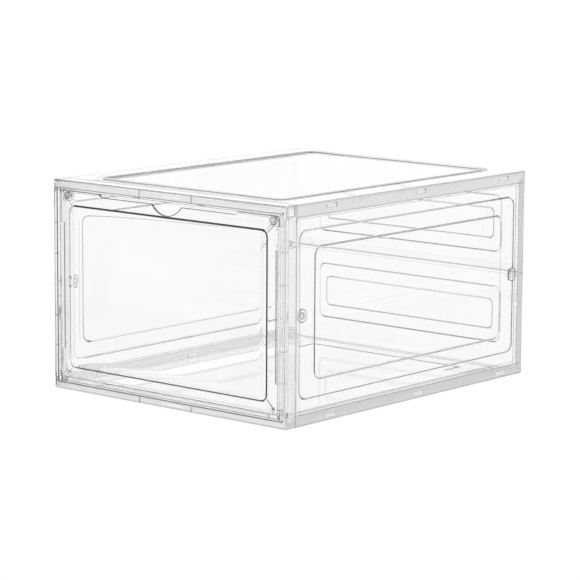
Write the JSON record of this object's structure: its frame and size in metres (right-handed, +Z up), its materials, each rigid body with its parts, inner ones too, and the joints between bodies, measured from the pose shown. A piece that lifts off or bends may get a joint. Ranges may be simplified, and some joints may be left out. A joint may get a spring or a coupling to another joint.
{
  "type": "shoe box",
  "caption": "Clear stackable drop-front shoe box: snap-together panels, a front frame and a magnet-held door hinged along its bottom edge.",
  "frame": {"origin": "centre of the footprint, on the ground", "axes": "+X to the right seen from the front, -Y out of the door, +Z up"},
  "size_m": [0.288, 0.36, 0.2013],
  "materials": {
    "panel_clear": "clear moulded polystyrene, polished",
    "frame_clear": "clear moulded polystyrene, polished",
    "door_clear": "clear moulded polystyrene, polished",
    "magnet_nickel": "nickel-plated disc magnet"
  },
  "bodies": {
    "box": {"top_panel": "panel_clear", "bottom_panel": "panel_clear", "left_panel": "panel_clear", "right_panel": "panel_clear", "back_panel_lower": "panel_clear", "back_panel_upper": "panel_clear", "front_frame": "frame_clear", "frame_magnet_left": "magnet_nickel", "frame_magnet_right": "magnet_nickel"},
    "door": {"door": "door_clear", "door_magnet_left": "magnet_nickel", "door_magnet_right": "magnet_nickel"}
  },
  "joints": [
    {"name": "door_hinge", "type": "hinge", "parent": "box", "child": "door", "pos_m": [0, -0.1752, 0.0155], "axis": [1, 0, 0], "range_deg": [0, 90]}
  ]
}
